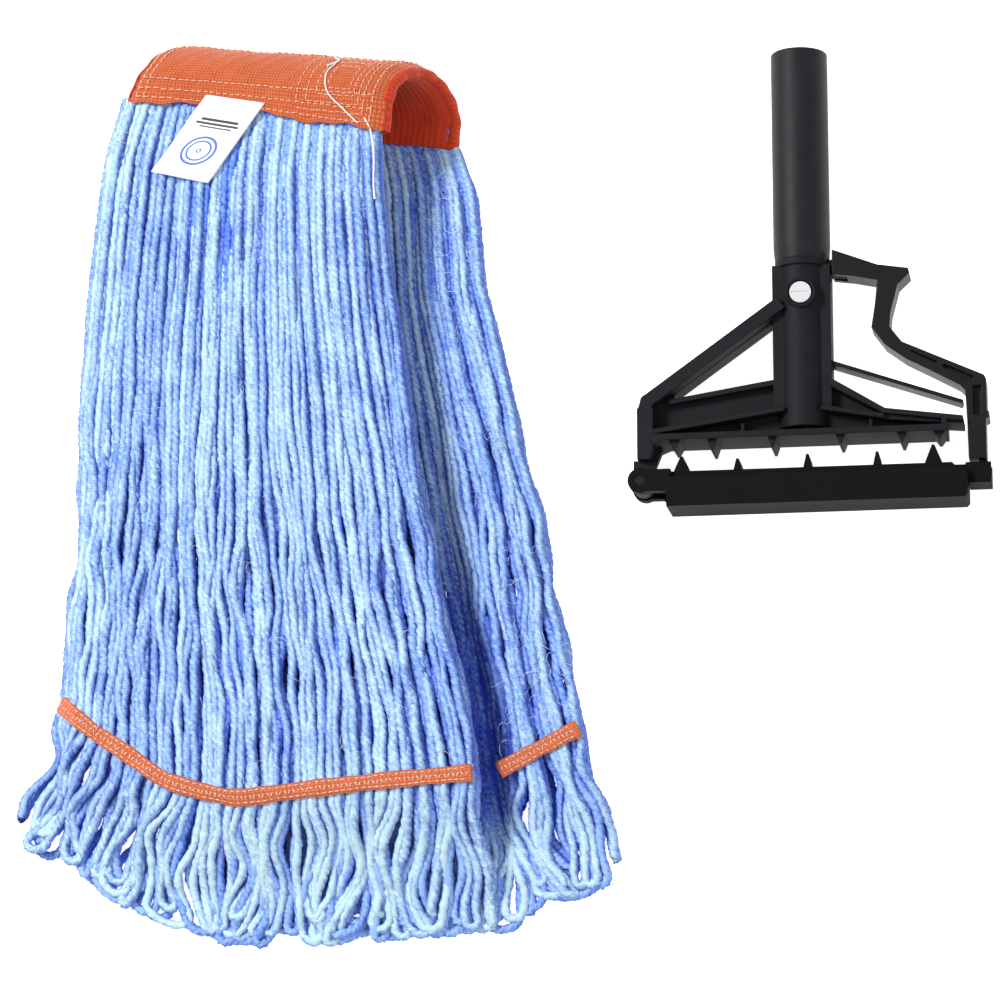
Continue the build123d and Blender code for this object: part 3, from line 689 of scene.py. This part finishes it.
def band_sheet(name, radius, out, material, seed, node, inside):
    """One tape of the headband, pressed in along its stitch rows."""
    across = np.linspace(-BAND_W / 2, BAND_W / 2, 150)
    round_it = np.linspace(0.2, AROUND - 0.2, 110)
    x, u = np.meshgrid(across, round_it, indexing="ij")
    edge = 0.9 * np.sin(x * 0.16 + seed) + 0.5 * np.sin(x * 0.43)
    u_moved = u + edge * (1 - ease(u, 0, 8))
    side = 0.8 * np.sin(u * 0.14 + seed) + 0.4 * np.sin(u * 0.37)
    x_moved = x + side * ease(np.abs(x), 50, 64) * 0.6
    lift = ripple(x, u, seed)
    if not inside:
        for row in STITCH_ROWS:
            lift = lift - 0.55 * np.exp(-((u - row) / SEAM_W) ** 2)
        for row in (-BAND_W / 2 + 6.5, BAND_W / 2 - 6.5):
            lift = lift - 0.5 * np.exp(-((x - row) / SEAM_W) ** 2)
    r = radius + (lift * 0.8 - tuck(x)) * out
    points = band_place(x_moved, u_moved, r)
    flat = np.stack([x, u], -1).reshape(-1, 2)
    made = mesh_piece(name, points.reshape(-1, 3), grid(points), material, uv=flat)
    thicken(made, 0.9)
    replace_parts(made, node)


band_sheet("headband_outside", BAND_R - 0.6, 1, BAND, 0.7, "headband_outer_tape", False)
band_sheet("headband_inside", BAND_R - BAND_T + 0.6, -1, BAND_INSIDE, 2.1,
           "headband_inner_tape", True)


def band_ends():
    """The turned-over ends, where outer and inner tape meet in a soft roll."""
    u = np.linspace(0.2, AROUND - 0.2, 110)
    angle = np.linspace(-math.pi / 2, math.pi / 2, 13)
    verts, quads, uvs, count = [], [], [], 0
    for side in (-1, 1):
        uu, aa = np.meshgrid(u, angle, indexing="ij")
        mid = BAND_R - BAND_T / 2
        half = BAND_T / 2 - 2.5
        x = side * (BAND_W / 2 - 0.8 + 2.4 * np.cos(aa) + 0.3 * np.sin(uu * 0.5))
        points = band_place(x, uu, mid + half * np.sin(aa))
        verts.append(points.reshape(-1, 3))
        quads.append(grid(points) + count)
        uvs.append(np.stack([uu, aa * 3], -1).reshape(-1, 2))
        count += points.shape[0] * points.shape[1]
    made = mesh_piece("headband_end_folds", np.vstack(verts), np.vstack(quads), BAND_INSIDE,
                      uv=np.vstack(uvs))
    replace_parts(made, "headband_outer_tape")


band_ends()


def band_core():
    """The yarn that runs through the band between its tapes."""
    bundle = Bundle()
    for x in np.linspace(-BAND_W / 2 + 5, BAND_W / 2 - 5, 26):
        u = np.linspace(-1.0, AROUND + 1.0, 36)
        path = band_place(np.full_like(u, x), u, BAND_R - BAND_T / 2)
        bundle.add(rope(smooth_path(path, 2.0), 3.0, 3, 13.0, up=(1, 0, 0),
                        phase=rng.uniform(0, 6)), rng.uniform(0, 1))
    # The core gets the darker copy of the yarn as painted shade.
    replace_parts(bundle.piece("headband_core", YARN_PAINTED_SHADE, "yarn_blue"), "headband_yarn")


band_core()


def stitch(bundle, points, radius):
    """One visible stitch: a short thread that dips in at both ends."""
    bundle.add(rope(smooth_path(points, 0.7), radius, 2, 3.0, groove=0.1, up=(0.3, 0.5, 0.8)))


def sewn_line(bundle, x, u, pitch=3.4, length=2.8, radius=0.32):
    """Stitches along a line on the band, given as matching lists of x and u."""
    line = np.column_stack([x, u])
    total = np.sum(np.linalg.norm(np.diff(line, axis=0), axis=1))
    for start in np.arange(0.5, total - length, pitch):
        jig = rng.normal(0, 0.12)
        t = np.array([0, 0.5, 1]) * length + start + rng.normal(0, 0.15)
        place = along(line, np.clip(t / total, 0, 1))
        r = (BAND_R - 0.05 + np.array([-0.25, 0.35, -0.25])
             + 0.6 * ripple(place[:, 0], place[:, 1], 0.7))
        r -= tuck(place[:, 0])
        stitch(bundle, band_place(place[:, 0], place[:, 1] + jig, r), radius)


def band_stitching():
    """Rows along and across the band, nested boxes at its right end, and a long tack."""
    rows = Bundle()
    end = BAND_W / 2
    for u in STITCH_ROWS:
        sewn_line(rows, [-end + 4, end - 4], [u, u + rng.normal(0, 0.4)])
    for x in (-end + 5.0, -end + 8.5, end - 5.0):
        sewn_line(rows, [x, x], [2, AROUND - 4])
    for inset in (0.0, 5.0, 10.0, 15.0):
        low, high = end - 44 + inset, end - 9 - inset * 0.55
        near, far = 5 + inset * 0.6, 41 - inset * 0.8
        sewn_line(rows, [low, high, high, low, low], [near, near, far, far, near], radius=0.28)
    made = rows.piece("headband_stitches", THREAD_WARM, "sewing_thread")
    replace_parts(made, "headband_stitching")
    tack = Bundle()
    for x, u, lift in (([29, 32, 32, 36, 44, 54], [38, 32, 22, 12, 7, 1.5], 0.55),
                       ([25, 27, 32, 29], [42, 38, 34, 28], 0.5)):
        path = band_place(x, u, BAND_R + lift)
        tack.add(rope(smooth_path(path, 0.9), THREAD_R, 3, 3.0, groove=0.15))
    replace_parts(tack.piece("headband_thread_tack", THREAD, "sewing_thread"),
                "headband_stitching")


band_stitching()


def loose_thread():
    """A thread end left hanging from the band's corner over the yarn."""
    route = [(-60.0, 183.0, 55.97), (-57.0, 178.0, 55.42), (-55.8, 170.0, 54.6),
             (-55.2, 160.5, 53.6), (-55.9, 150.5, 52.53), (-55.3, 141.5, 51.8)]
    curve = bpy.data.curves.new("loose_thread_end", "CURVE")
    curve.dimensions = "3D"
    curve.bevel_depth = THREAD_R * MM
    curve.bevel_resolution = 3
    curve.use_fill_caps = True
    spline = curve.splines.new("NURBS")
    spline.points.add(len(route) - 1)
    for point, (x, y, z) in zip(spline.points, route):
        point.co = (x * MM, (y + HOME_Y) * MM, z * MM, 1)
    spline.order_u = 3
    spline.use_endpoint_u = True
    curve.resolution_u = 12
    curve.materials.append(THREAD)
    made = bpy.data.objects.new("loose_thread_end", curve)
    ride_head(made)
    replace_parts(made, "loose_thread")
    x, y, z = route[0]


loose_thread()


# ----------------------------------------------------------------- tail tapes
def tail_tape(name, lay, node, upper, start=0.0):
    """A sewn tape across a layer at its tail, dipping a little between strands."""
    total = np.sum(np.linalg.norm(np.diff(np.asarray(lay["tail"], float), axis=0), axis=1))
    t = np.linspace(start, 1.0, int(total * (1.0 - start) / 1.1))
    line = along(lay["tail"], t)
    for k in range(2):
        line[:, k] = np.convolve(np.pad(line[:, k], 6, mode="reflect", reflect_type="odd"),
                                 np.ones(13) / 13, mode="valid")
    tangent = np.gradient(line, axis=0)
    tangent /= np.linalg.norm(tangent, axis=1)[:, None]
    normal = np.column_stack([-tangent[:, 1], tangent[:, 0]])
    across = np.linspace(-1, 1, 7)
    wide = TAIL_TAPE_W / 2 * (1 + 0.05 * np.sin(t * 40) + 0.04 * np.sin(t * 97))
    xy = line[:, None] + normal[:, None] * (across[None] * wide[:, None])[..., None]
    base, top = height(lay, xy[..., 0], xy[..., 1])
    run = t * total
    if upper:
        dip = 0.35 * np.sin(run * 2 * math.pi / 4.0) + 0.3 * np.sin(run * 0.35)
        z = top + 0.85 + dip[:, None] * (1 - 0.3 * np.abs(across)) - 0.3 * np.abs(across) ** 3
    else:
        z = base + 0.7
    points = np.dstack([xy[..., 0], xy[..., 1] + HOME_Y, z])
    flat = np.dstack(np.broadcast_arrays(across[None] * TAIL_TAPE_W / 2, run[:, None]))
    made = mesh_piece(name, points.reshape(-1, 3), grid(points), TAIL,
                      uv=flat.reshape(-1, 2))
    thicken(made, 0.8)
    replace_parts(made, node)
    if not upper:
        return
    rows = Bundle()
    for place in (-0.62, 0.0, 0.62):
        col = int(round((place + 1) * 3))
        ridge = points[:, col] + np.array([0, 0, 0.45])
        pitch = 3 if place else 2
        for i in range(1, len(t) - 3, pitch):
            a, b = ridge[i].copy(), ridge[i + (2 if place else 1)].copy()
            if not place:
                push = np.append(normal[i] * (0.9 if (i // 2) % 2 else -0.9), 0)
                a, b = a + push, b - push
            middle = (a + b) / 2 + np.array([0, 0, 0.25])
            rows.add(rope(np.array([a - [0, 0, 0.3], middle, b - [0, 0, 0.3]]),
                          0.33, 2, 3.0, groove=0.1, ends=False))
    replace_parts(rows.piece(name + "_stitches", THREAD_PALE, "sewing_thread"), node)


tail_tape("front_tail_tape", FRONT, "front_tail_tape_upper", True)
tail_tape("front_tail_tape_under", FRONT, "front_tail_tape_lower", False)
tail_tape("back_tail_tape", BACK, "back_tail_tape_upper", True, start=0.785)
tail_tape("back_tail_tape_under", BACK, "back_tail_tape_lower", False)


# ---------------------------------------------------------------------- label
LABEL_CORNERS = np.array([(-141.5, 199.0), (-111.0, 193.0), (-140.5, 153.0), (-170.0, 160.0)])


def label_place(a, b):
    """A point of the label: a across it, b down it, both from 0 to 1."""
    a, b = np.broadcast_arrays(np.asarray(a, float), np.asarray(b, float))
    p = LABEL_CORNERS
    xy = (p[0] * ((1 - a) * (1 - b))[..., None] + p[1] * (a * (1 - b))[..., None]
          + p[2] * (a * b)[..., None] + p[3] * ((1 - a) * b)[..., None])
    top = height(FRONT, xy[..., 0], xy[..., 1])[1]
    curl = 0.5 + 1.6 * b ** 3 + 0.4 * np.sin(a * 5 + b * 7) * b
    return np.stack([xy[..., 0], xy[..., 1] + HOME_Y, top + curl], -1)


def label():
    """The cloth label with a generic ring and three plain lines printed on it."""
    a, b = np.meshgrid(np.linspace(0, 1, 16), np.linspace(0, 1, 24), indexing="ij")
    points = label_place(a, b)
    flat = np.stack([a * LABEL_W, b * LABEL_H], -1).reshape(-1, 2)
    made = mesh_piece("label_tag", points.reshape(-1, 3), grid(points), LABEL,
                      uv=flat)
    thicken(made, 0.45)
    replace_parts(made, "label")
    prints = []
    for inner, outer in ((7.4, 8.6), (5.2, 6.1), (0.7, 1.3)):
        turn = np.linspace(0, 2 * math.pi, 49)
        r = np.array([inner, outer])[None]
        pa = 0.5 + r * np.cos(turn)[:, None] / LABEL_W
        pb = 0.66 + r * np.sin(turn)[:, None] / LABEL_H
        prints.append((label_place(pa, pb) + [0, 0, 0.3], INK_BLUE))
    for a0, a1, b0, b1 in ((0.2, 0.82, 0.27, 0.3), (0.15, 0.86, 0.32, 0.345),
                           (0.24, 0.78, 0.365, 0.38)):
        pa, pb = np.meshgrid(np.linspace(a0, a1, 14), (b0, b1), indexing="ij")
        prints.append((label_place(pa, pb) + [0, 0, 0.3], INK_GREY))
    marks = []
    for i, (points, ink) in enumerate(prints):
        marks.append(mesh_piece(f"label_mark_{i + 1}", points.reshape(-1, 3), grid(points),
                                ink))
        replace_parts(marks[-1], "label")


label()


# ------------------------------------------------------------------ the clamp
CLAMP_LOOKS = {
    "clamp_frame": plastic_material("clamp_plastic", "#111216", "#1B1C21", 0.6, 1800, 0.16),
    "handle_sleeve": plastic_material("sleeve_plastic", "#141519", "#1F2025", 0.5, 2400),
    "lower_jaw": plastic_material("jaw_plastic", "#08090B", "#0F1013", 0.7, 1800, 0.1),
    "side_latch": plastic_material("latch_plastic", "#0C0D10", "#15161A", 0.4, 1800),
    "latch_leaf": plastic_material("leaf_plastic", "#0C0D10", "#15161A", 0.4, 1800),
    # Near-white and only half metallic: a painted highlight standing in for the bolt head's
    # bright reflection.
    "handle_bolt": metal_material("bolt_steel", "#F2F3F6", 0.12, 0.5),
    "bolt_nut": metal_material("nut_steel", "#A0A3AA", 0.22),
    "bolt_washer": plastic_material("washer_black", "#070709", "#0C0D10", 0.3, 1500, 0.3),
    "jaw_pin": plastic_material("jaw_pin_black", "#0E0F12", "#17181C", 0.35, 1500),
    "latch_pin": plastic_material("latch_pin_black", "#0E0F12", "#17181C", 0.35, 1500),
}


def paint_clamp():
    """Every part of the clamp keeps its CAD shape and gets its own look."""
    for node, look in CLAMP_LOOKS.items():
        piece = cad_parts[node]
        if not piece.material_slots:
            piece.data.materials.append(look)
        for slot in piece.material_slots:
            slot.material = look


paint_clamp()


# ----------------------------------------------------------- floor, light, view
VIEW_WIDTH, SENSOR, LENS = 0.5, 36, 150  # metres seen at the object; film and lens in mm


def stage():
    """A pale lit table under the object."""
    floor = Shader("lit_table", Roughness=0.9, Specular_IOR_Level=0.1,
                   Emission_Color=(1, 1, 1, 1), Emission_Strength=0.9)
    floor.colour(floor.ramp(floor.noise(3, 2), (0.0, (0.86, 0.86, 0.86, 1)),
                            (1.0, (0.9, 0.9, 0.9, 1))))
    bpy.ops.mesh.primitive_plane_add(size=12, location=(0, 0, -0.0005))
    plane = bpy.context.object
    plane.name = "floor"
    plane.data.materials.append(floor.material)


def area_light(name, place, size, power):
    """A soft round light aimed at the object."""
    data = bpy.data.lights.new(name, "AREA")
    data.shape = "DISK"
    data.size = size
    data.energy = power
    light = bpy.data.objects.new(name, data)
    light.location = place
    light.rotation_euler = (-Vector(place)).to_track_quat("-Z", "Y").to_euler()
    bpy.context.scene.collection.objects.link(light)


def camera():
    """Looks down at the table, tilted a little to the right and from below."""
    back = Vector((0.156, -0.208, 0.965)).normalized()
    target = Vector((0.0035, HOME_Y * MM - 0.0085, 0.02))
    data = bpy.data.cameras.new("camera")
    data.lens = LENS
    data.sensor_width = SENSOR
    distance = VIEW_WIDTH / (SENSOR / LENS)
    data.clip_start, data.clip_end = 0.05, 50
    made = bpy.data.objects.new("camera", data)
    made.location = target + back * distance
    right = Vector((0, 1, 0)).cross(back).normalized()
    upward = back.cross(right)
    made.rotation_mode = "QUATERNION"
    made.rotation_quaternion = Matrix((right, upward, back)).transposed().to_quaternion()
    bpy.context.scene.collection.objects.link(made)
    bpy.context.scene.camera = made


def studio():
    """White surroundings, a key light from the upper left and a weak fill."""
    world = bpy.data.worlds.new("studio")
    world.use_nodes = True
    background = world.node_tree.nodes["Background"]
    background.inputs["Color"].default_value = (1, 1, 1, 1)
    background.inputs["Strength"].default_value = 0.52
    bpy.context.scene.world = world
    bpy.context.scene.view_settings.view_transform = "Standard"
    area_light("key", (-1.1, 0.6, 1.55), 0.6, 36)
    area_light("fill", (1.2, -0.6, 1.4), 1.2, 8)


stage()
studio()
camera()
